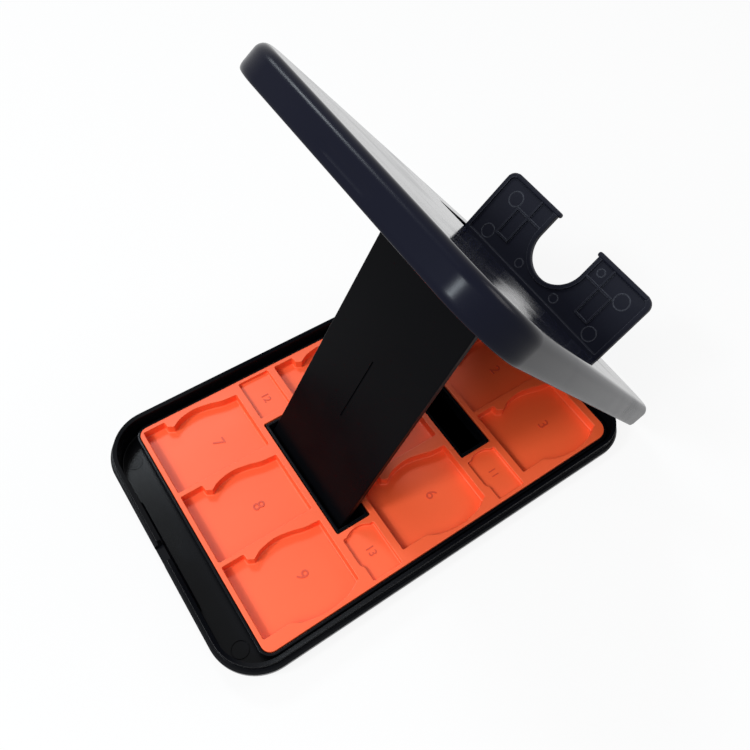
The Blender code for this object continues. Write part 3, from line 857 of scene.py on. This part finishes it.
legLow, legHigh = boxOf("prop_leg")
lipHigh = boxOf("console_lip")[1]
legPlan = {
    "half": legHigh.x, "thickness": 2.2, "barrel": 1.7, "edge": 0.35,
    "slitAlong": 40.2, "slitLength": 22.8, "slitWidth": 0.55, "slitDepth": 0.4, "slitOffset": 0.8,
    "slitEdge": 0.06, "boreDepth": 4.3,
}
lipPlan = {
    "angle": 84.0, "half": lipHigh.x, "reach": 23.5, "thickness": 2.2, "corner": 3.0, "rim": 1.4, "root": 1.7,
    "pocketDepth": 1.0, "cutHalf": 9.15, "cutFoot": 5.8, "edge": 0.28, "rimDrop": 0.2, "boreDepth": 3.8,
    "mouthEdge": 0.1, "pocketRoot": 0.25, "sideLevels": (-0.4, -0.2, 0.2, 0.5),
    "ribWidth": 0.6, "ribDrop": 0.3, "ribRound": 0.1,
    "ribs": (
        ((15.8, 6.6), (15.8, 22.0)), ((10.6, 15.8), (20.6, 15.8)),
        ((16.0, 6.4), (20.6, 6.4)), ((20.6, 6.4), (20.6, 15.8)),
    ),
    "bead": 1.55, "beadRound": 0.5, "beadOver": 0.85, "beadCorner": 0.7,
    "markWidth": 0.22, "markRise": 0.14,
    "marks": (
        ((23.4, 17.3), 2.5), ((23.4, 4.6), 2.3), ((8.0, 4.4), 1.5), ((-8.0, 4.4), 1.5),
        ((-23.4, 17.3), 2.5), ((-23.4, 4.6), 2.3), ((-13.0, 19.1), 1.3),
    ),
}


def recessOutline(grow):
    half = lipPlan["half"] + grow
    low = (-half, lipPivot.y - lipPlan["thickness"] / 2 - grow)
    corner = lipPlan["corner"] + grow
    return roundedRectangle(low, (half, lipPivot.y + lipPlan["reach"] + grow), [corner, corner, 0.5, 0.5], 8)


def dentOutline():
    # The lid's outline with the points that the thumb dent needs between the free end's corners
    outline = caseOutline(lidMiddle)
    half, steps = lidPlan["dentHalf"], lidPlan["dentSteps"]
    extra = [Vector((half - 2 * half * step / steps, lidMiddle + halfLength)) for step in range(steps + 1)]
    quarter = len(outline) // 4
    return outline[:quarter] + extra + outline[quarter:]


def pressDent(mesh):
    # Moves the free end's face inwards by a smooth shallow scoop
    plan = lidPlan
    for vert in mesh.verts:
        across = abs(vert.co.x) / plan["dentHalf"]
        along = abs(vert.co.z - plan["dentMiddle"]) / plan["dentHeight"]
        if max(across, along) < 1 and vert.co.y > lidMiddle + halfLength - plan["dentReach"]:
            ends = min(1.0, plan["dentEnds"] * (1 - across))
            side = math.cos(math.pi / 2 * along) ** 2
            vert.co.y -= plan["dentDepth"] * side * math.sin(math.pi / 2 * ends) ** 2


def lidShell():
    plan = lidPlan
    rim = plan["rim"]
    top = rim + plan["height"]
    ceiling = top - plan["skin"]
    edge, wall, inner, rabbet = plan["edge"], plan["wall"], plan["innerRound"], plan["rabbetInset"]
    rabbetTop = rim + plan["rabbetDepth"]
    slope, tip = plan["rabbetSlope"], plan["rabbetEdge"]
    profile = [(wall + inner + faceMargin, ceiling)]
    profile += bend((wall + inner, ceiling), (wall, ceiling), (wall, ceiling - inner))
    profile += [(wall, rabbetTop + slope), (wall - slope, rabbetTop), (rabbet, rabbetTop)]
    profile += bend((rabbet, rim + tip), (rabbet, rim), (rabbet - tip, rim), 2)
    profile += bend((plan["rimRound"], rim), (0, rim), (0, rim + plan["rimRise"]), 5)
    profile += [(0, plan["dentLow"] + plan["dentRise"] * step) for step in range(plan["dentRings"])]
    profile += bend((0, top - edge), (0, top), (edge, top), 10)
    profile.append((edge + faceMargin, top))
    shell = Moulding()
    inside, outside = shell.walls(dentOutline(), profile)
    pressDent(shell.mesh)
    recessFloor = lipPivot.z - lipPlan["thickness"] / 2 - hingePlan["play"]
    recess = recessOutline(hingePlan["play"])
    shell.cap(outside, shell.pocket(recess, recessFloor, top, plan["recessFlare"], plan["recessRoot"]))
    blockLow = recessFloor - plan["recessSkin"]
    fillet, blockEdge = plan["recessFillet"], plan["recessEdge"]
    blockProfile = [(-fillet - faceMargin, ceiling)]
    blockProfile += bend((-fillet, ceiling), (0, ceiling), (0, ceiling - fillet), 3)
    blockProfile += bend((0, blockLow + blockEdge), (0, blockLow), (blockEdge, blockLow), 3)
    blockProfile.append((blockEdge + faceMargin, blockLow))
    foot, underside = shell.walls(recessOutline(plan["recessWall"]), blockProfile)
    shell.cap(underside)
    shell.cap(inside, foot)
    return shell.piece("lid shell")


def bossOutline():
    centre = (legPivot.y, legPivot.z)
    radius = lidPlan["bossRadius"]
    top = lidPlan["rim"] + lidPlan["height"] - lidPlan["skin"] + 0.7
    points = arc(centre, radius, 180, 360, 24)
    points += [Vector((centre[0] + radius, top)), Vector((centre[0] - radius, top))]
    return counterClockwise(points)


def makeLid():
    plan = lidPlan
    play = hingePlan["play"]
    lid = lidShell()
    start = legPlan["half"] + play
    for side in (-1, 1):
        low, high = sorted((side * start, side * (start + plan["bossWidth"])))
        join(lid, bar(f"leg boss {side}", bossOutline(), low, high, hingePlan["edge"]))
        middle = side * hingePlan["spacing"] / 2
        low, high = middle - hingePlan["lidWidth"] / 2, middle + hingePlan["lidWidth"] / 2
        outline = knuckleOutline(1, -play, (0, 0))
        join(lid, bar(f"lid knuckle {side}", outline, low, high, hingePlan["edge"]))
    spread = hingePlan["spacing"] / 2 + hingePlan["lidWidth"]
    cut(lid, rod("lid bore", hingePlan["pinRadius"] + play, -spread, spread, (0, 0)))
    spread = start + plan["bossWidth"] + 1
    cut(lid, rod("leg bore", plan["legPin"] + play, -spread, spread, legPivot.yz))
    spread = lipPlan["half"] + 3.8
    cut(lid, rod("lip bore", plan["lipPin"] + play, -spread, spread, lipPivot.yz))
    finishPiece("lid_moulding", lid, lidPlace, lidBlack, "lid_black", "lid", "lid_shell")


# Prop leg, in its own frame: the origin on its pivot and the foot towards -Y

def makeLeg():
    plan = legPlan
    half = plan["thickness"] / 2
    pivot = pivots["leg_hinge"]
    foot = Vector((0, legHigh.y - half, legLow.z + half))
    length = (pivot - foot).length
    lean = math.atan2(pivot.z - foot.z, pivot.y - foot.y)
    place = Matrix.Translation(pivot) @ Matrix.Rotation(lean, 4, "X")
    meet = math.degrees(math.asin(half / plan["barrel"]))
    outline = arc((0, 0), plan["barrel"], meet - 180, 180 - meet, 32)
    outline += arc((-length, 0), half, 90, 270, 16)
    leg = bar("leg", outline, -plan["half"], plan["half"], plan["edge"])
    for side in (-1, 1):
        ends = sorted((side * (plan["half"] - plan["boreDepth"]), side * (plan["half"] + 2)))
        cut(leg, rod(f"leg pin bore {side}", lidPlan["legPin"] + hingePlan["play"], *ends, (0, 0)))
    slitLow = (plan["slitOffset"] - plan["slitWidth"] / 2, -plan["slitAlong"] - plan["slitLength"], -half - 1)
    slitHigh = (plan["slitOffset"] + plan["slitWidth"] / 2, -plan["slitAlong"], plan["slitDepth"] - half)
    cut(leg, block("slit", slitLow, slitHigh, plan["slitEdge"]))
    finishPiece("leg_moulding", leg, place, legBlack, "leg_black", "leg", "prop_leg")


# Console lip, in its own frame: the origin on its pivot, the free edge towards +Y and the ribs towards -Z

def lipOutline(shrink, root):
    plan = lipPlan
    half = plan["half"] - shrink
    top = plan["reach"] - 0.1 - shrink
    corner = plan["corner"] - shrink
    cutHalf = plan["cutHalf"] + shrink
    middle = plan["cutFoot"] + plan["cutHalf"]
    points = arc((half - corner, top - corner), corner, 0, 90, 10)
    points.append(Vector((cutHalf, top)))
    points += arc((0, middle), cutHalf, 360, 180, 40)
    points.append(Vector((-cutHalf, top)))
    points += arc((corner - half, top - corner), corner, 90, 180, 10)
    points += [Vector((-half, root)), Vector((half, root))]
    return softened(points, 0.45, 4, 25)


def lipRib(number, ends, side):
    plan = lipPlan
    (firstX, firstY), (lastX, lastY) = ends
    lowX, highX = sorted((side * firstX, side * lastX))
    half = plan["ribWidth"] / 2
    low = plan["ribDrop"] + number * 0.02 - plan["thickness"] / 2
    high = plan["pocketDepth"] + 0.3 + number * 0.02 - plan["thickness"] / 2
    corners = (lowX - half, firstY - half, low), (highX + half, lastY + half, high)
    return block(f"rib {side} {number}", *corners, plan["ribRound"])


def lipBead(side):
    # The bead along an arm's free edge, whose rounded end stands over the cut-out
    plan = lipPlan
    half = plan["thickness"] / 2
    inner = plan["cutHalf"] - plan["beadOver"]
    lowX, highX = sorted((side * inner, side * (plan["half"] - 0.72 * plan["corner"])))
    low, high = (lowX, plan["reach"] - plan["bead"], -half), (highX, plan["reach"], half)
    return block(f"bead {side}", low, high, plan["beadRound"], plan["beadCorner"])


def makeLip():
    plan = lipPlan
    half = plan["thickness"] / 2
    place = lidPlace @ Matrix.Translation(lipPivot) @ Matrix.Rotation(math.radians(plan["angle"]), 4, "X")
    shell = Moulding()
    edge, under = plan["edge"], plan["rimDrop"] - half
    profile = [(edge + faceMargin, under)] + bend((edge, under), (0, under), (0, edge + under), 3)
    profile += [(0, level) for level in plan["sideLevels"]]    # the round root edge needs rings here
    profile += bend((0, half - edge), (0, half), (edge, half), 3) + [(edge + faceMargin, half)]
    lower, upper = shell.walls(lipOutline(0, -half), profile)
    pocketFloor = plan["pocketDepth"] - half
    mouthEdge, fillet = plan["mouthEdge"], plan["pocketRoot"]
    mouthProfile = [(-mouthEdge - faceMargin, under)]
    mouthProfile += bend((-mouthEdge, under), (0, under), (0, mouthEdge + under), 2)
    mouthProfile += bend((0, pocketFloor - fillet), (0, pocketFloor), (fillet, pocketFloor), 3)
    mouthProfile.append((fillet + faceMargin, pocketFloor))
    mouth, floor = shell.walls(lipOutline(plan["rim"], plan["root"]), mouthProfile)
    shell.cap(floor)
    shell.cap(lower, mouth)
    shell.cap(upper)
    for vert in shell.mesh.verts:    # the root edge is round about the pivot
        if vert.co.y < 0:
            vert.co.y = 0.3 * (vert.co.y + half) - math.sqrt(max(0.0, half * half - vert.co.z ** 2))
    lip = shell.piece("lip")
    for side in (-1, 1):
        join(lip, lipBead(side))
        for number, ends in enumerate(plan["ribs"]):
            join(lip, lipRib(number, ends, side))
        ends = sorted((side * (plan["half"] - plan["boreDepth"]), side * (plan["half"] + 2)))
        cut(lip, rod(f"lip pin bore {side}", lidPlan["lipPin"] + hingePlan["play"], *ends, (0, 0)))
    for number, (centre, radius) in enumerate(plan["marks"]):
        mark = ringMark(f"lip mark {number}", centre, radius, 0.0, plan["markWidth"], plan["markRise"])
        mark.data.transform(Matrix.Translation((0, 0, pocketFloor)) @ Matrix.Rotation(math.pi, 4, "Y"))
        mark.data.transform(Matrix.Diagonal((-1, 1, 1, 1)))
        mark.data.flip_normals()
        join(lip, mark)
    finishPiece("lip_moulding", lip, place, lipBlack, "lip_black", "lip", "console_lip")


# Pins and feet

hingeHalf = hingePlan["lidWidth"] / 2 + hingePlan["play"] + hingePlan["trayWidth"]
hingeEnds = (hingePlan["spacing"] / 2 - hingeHalf, hingePlan["spacing"] / 2 + hingeHalf)
# Each pin's joint, its radius, how far its ends are from the middle of the case, and its body
pinPlan = {
    "lid_hinge_pin": ("lid_hinge", hingePlan["pinRadius"], hingeEnds, "base"),
    "leg_pivot_pin": ("leg_hinge", lidPlan["legPin"], (legPlan["half"] - 4, legPlan["half"] + 4.05), "lid"),
    "lip_pivot_pin": ("lip_hinge", lidPlan["lipPin"], (lipPlan["half"] - 3.5, lipPlan["half"] + 3.5), "lid"),
}
pinEdge = 0.15


def makePins():
    for sideName, side in (("left", -1), ("right", 1)):
        for name, (joint, radius, ends, body) in pinPlan.items():
            low, high = sorted(side * end for end in ends)
            node = f"{name}_{sideName}"
            pin = rod(name, radius, low, high, pivots[joint].yz, pinEdge, 32)
            finishPiece(f"{node}_turned", pin, Matrix(), steel, "pin_steel", body, node)


footPlan = {"dish": 1.3, "dishDepth": 0.12, "edgeWidth": 1.0, "edgeHeight": 0.3, "topEdge": 0.1}


def makeFeet():
    plan = footPlan
    for name, centre in footPlaces().items():
        low, high = boxOf(name)
        foot = Moulding()
        radius = (high.x - low.x) / 2
        profile = [(plan["dish"], low.z + plan["dishDepth"])]
        profile += bend((plan["edgeWidth"], low.z), (0, low.z), (0, low.z + plan["edgeHeight"]), 5)
        profile += [(0, high.z - plan["topEdge"]), (plan["topEdge"], high.z)]
        foot.solid(circle(centre, radius), profile)
        finishPiece(f"{name}_pad", foot.piece(name), Matrix(), rubber, "foot_rubber", "base", name)


makeTray()
makeInsert()
makeNumbers()
makeLid()
makeLeg()
makeLip()
makePins()
makeFeet()

# Floor, light and camera

stagePlan = {
    "floorSize": 14.0, "horizon": 0.87, "seenFloor": (0.8, 0.8, 0.8), "whiteShare": 0.86,
    "floorRough": 0.85, "floorMottle": 60.0,
    "bounce": (0.2, 0.19, 0.16), "ambient": (0.25, 0.25, 0.25),
    "cameraPlace": (-86.69, 76.24, 224.69), "cameraTurn": (32.3555, -4.0526, -124.2263), "lens": 36.32,
}
coolLight, plainLight, warmLight = (0.86, 0.94, 1.0), (1.0, 1.0, 1.0), (1.0, 0.97, 0.93)
# Each lamp's place, its size in metres, its power and colour, and whether glossy rays see it
lamps = {
    "key": ((487, 13, 627), (0.13, 0.14), 1.5, coolLight, True),
    "end": ((74, 572, 690), (0.11, 0.1), 2.4, coolLight, True),
    "soft": ((-120, 560, 695), (0.5, 0.5), 4.8, plainLight, False),
    "back": ((-150, -640, 520), (0.33, 0.28), 1.6, warmLight, True),
}


def makeFloor():
    bpy.ops.mesh.primitive_plane_add(size=stagePlan["floorSize"])
    floor = bpy.context.object
    floor.name = "floor"
    finish = Finish("pale floor")
    seen = finish.rays()
    finish.feed(finish.shader, {
        "Base Color": finish.blend(seen, stagePlan["bounce"], stagePlan["seenFloor"]),
        "Roughness": stagePlan["floorRough"] + finish.noise(stagePlan["floorMottle"], 3.0) * 0.1,
        "Specular IOR Level": 0.1,
    })
    white = finish.node("ShaderNodeEmission", None, {"Color": (1, 1, 1, 1), "Strength": 1.0})
    plain = Signal(finish, finish.shader.outputs[0])
    share = seen * stagePlan["whiteShare"]    # the rest keeps the object's shadow
    mixed = finish.node("ShaderNodeMixShader", None, {0: share, 1: plain, 2: white})
    finish.feed(finish.tree.nodes["Material Output"], {"Surface": mixed})
    floor.data.materials.append(finish.material)


def makeWorld():
    world = bpy.data.worlds.new("studio")
    bpy.context.scene.world = world
    world.use_nodes = True
    air = Air(world)
    levels = (stagePlan["ambient"], (stagePlan["horizon"],) * 3)
    ambient, white = (air.node("ShaderNodeBackground", None, {"Color": (*level, 1)}) for level in levels)
    mixed = air.node("ShaderNodeMixShader", None, {0: air.rays(), 1: ambient, 2: white})
    air.feed(air.tree.nodes["World Output"], {"Surface": mixed})


def makeLamps():
    aim = Vector((0, 0, 20)) * mm
    for name, (place, size, power, tint, mirrored) in lamps.items():
        light = bpy.data.lights.new(name, "AREA")
        light.shape = "RECTANGLE"
        light.size, light.size_y = size
        light.energy = power
        light.color = tint
        lamp = bpy.data.objects.new(name, light)
        lamp.location = Vector(place) * mm
        lamp.rotation_euler = (aim - lamp.location).to_track_quat("-Z", "Y").to_euler()
        lamp.visible_glossy = mirrored
        bpy.context.scene.collection.objects.link(lamp)


def makeCamera():
    data = bpy.data.cameras.new("camera")
    data.lens = stagePlan["lens"]
    data.sensor_width = 36
    data.clip_start = 0.01
    camera = bpy.data.objects.new("camera", data)
    camera.location = Vector(stagePlan["cameraPlace"]) * mm
    camera.rotation_euler = [math.radians(angle) for angle in stagePlan["cameraTurn"]]
    bpy.context.scene.collection.objects.link(camera)
    bpy.context.scene.camera = camera


makeFloor()
makeWorld()
makeLamps()
makeCamera()
bpy.context.scene.view_settings.view_transform = "Standard"
print("stage set")

bpy.context.view_layer.update()
